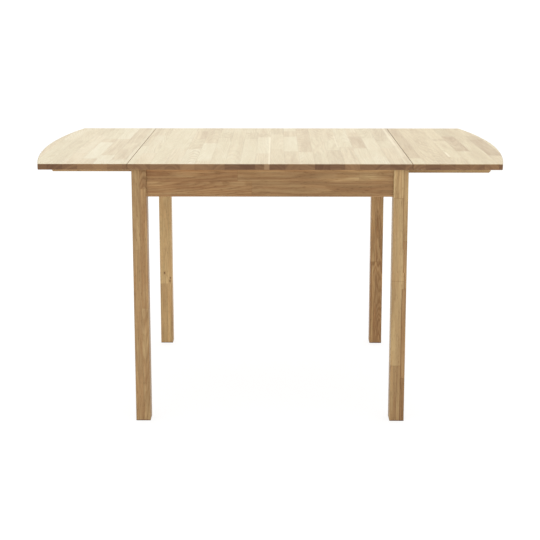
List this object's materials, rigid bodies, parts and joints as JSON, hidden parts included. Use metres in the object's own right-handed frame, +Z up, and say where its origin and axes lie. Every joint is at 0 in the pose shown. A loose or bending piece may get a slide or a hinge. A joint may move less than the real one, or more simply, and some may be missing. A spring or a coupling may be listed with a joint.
{
  "type": "extending dining table",
  "caption": "Four-legged solid wood dining table: square fixed top, round-ended end leaves carried on bars that slide out of the end aprons.",
  "frame": {"origin": "on the floor, under the middle of the table", "axes": "+Z up, +X along the length of the table to the viewer's right in the picture, -Y to the viewer"},
  "size_m": [1.3898, 0.8, 0.76],
  "materials": {
    "oak_top": "oiled oak staves, satin",
    "oak_apron": "oiled oak staves, satin",
    "oak_leg": "oiled oak, satin",
    "oak_bar": "oiled oak, satin",
    "beech_pin": "plain turned beech",
    "zinc_steel": "zinc plated"
  },
  "bodies": {
    "frame": {"centre_top": "oak_top", "apron_front": "oak_apron", "apron_rear": "oak_apron", "apron_left": "oak_apron", "apron_right": "oak_apron", "cross_rail": "oak_apron", "leg_front_left": "oak_leg", "leg_front_right": "oak_leg", "leg_rear_left": "oak_leg", "leg_rear_right": "oak_leg", "corner_plate_front_left": "zinc_steel", "corner_plate_front_right": "zinc_steel", "corner_plate_rear_left": "zinc_steel", "corner_plate_rear_right": "zinc_steel", "hanger_bolt_front_left": "zinc_steel", "hanger_bolt_front_right": "zinc_steel", "hanger_bolt_rear_left": "zinc_steel", "hanger_bolt_rear_right": "zinc_steel", "nut_front_left": "zinc_steel", "nut_front_right": "zinc_steel", "nut_rear_left": "zinc_steel", "nut_rear_right": "zinc_steel", "bracket_front_left": "zinc_steel", "bracket_front_right": "zinc_steel", "bracket_rear_left": "zinc_steel", "bracket_rear_right": "zinc_steel", "bracket_end_left": "zinc_steel", "bracket_end_right": "zinc_steel"},
    "sliding_bar_right_front": {"bar_right_front": "oak_bar", "out_stop_right_front": "beech_pin", "in_stop_right_front": "beech_pin"},
    "sliding_bar_right_rear": {"bar_right_rear": "oak_bar", "out_stop_right_rear": "beech_pin", "in_stop_right_rear": "beech_pin"},
    "sliding_bar_left_front": {"bar_left_front": "oak_bar", "out_stop_left_front": "beech_pin", "in_stop_left_front": "beech_pin"},
    "sliding_bar_left_rear": {"bar_left_rear": "oak_bar", "out_stop_left_rear": "beech_pin", "in_stop_left_rear": "beech_pin"},
    "end_leaf_left": {"leaf_left": "oak_top", "dowel_left_front": "beech_pin", "dowel_left_middle": "beech_pin", "dowel_left_rear": "beech_pin"},
    "end_leaf_right": {"leaf_right": "oak_top", "dowel_right_front": "beech_pin", "dowel_right_middle": "beech_pin", "dowel_right_rear": "beech_pin"}
  },
  "joints": [
    {"name": "bar_slide_right_front", "type": "slide", "parent": "frame", "child": "sliding_bar_right_front", "axis": [-1, 0, 0], "range_m": [0, 0.24]},
    {"name": "bar_slide_right_rear", "type": "slide", "parent": "frame", "child": "sliding_bar_right_rear", "axis": [-1, 0, 0], "range_m": [0, 0.24]},
    {"name": "bar_slide_left_front", "type": "slide", "parent": "frame", "child": "sliding_bar_left_front", "axis": [1, 0, 0], "range_m": [0, 0.24]},
    {"name": "bar_slide_left_rear", "type": "slide", "parent": "frame", "child": "sliding_bar_left_rear", "axis": [1, 0, 0], "range_m": [0, 0.24]},
    {"name": "leaf_slide_right", "type": "slide", "parent": "frame", "child": "end_leaf_right", "axis": [1, 0, 0], "range_m": [0, 0.08]},
    {"name": "leaf_slide_left", "type": "slide", "parent": "frame", "child": "end_leaf_left", "axis": [-1, 0, 0], "range_m": [0, 0.08]}
  ]
}
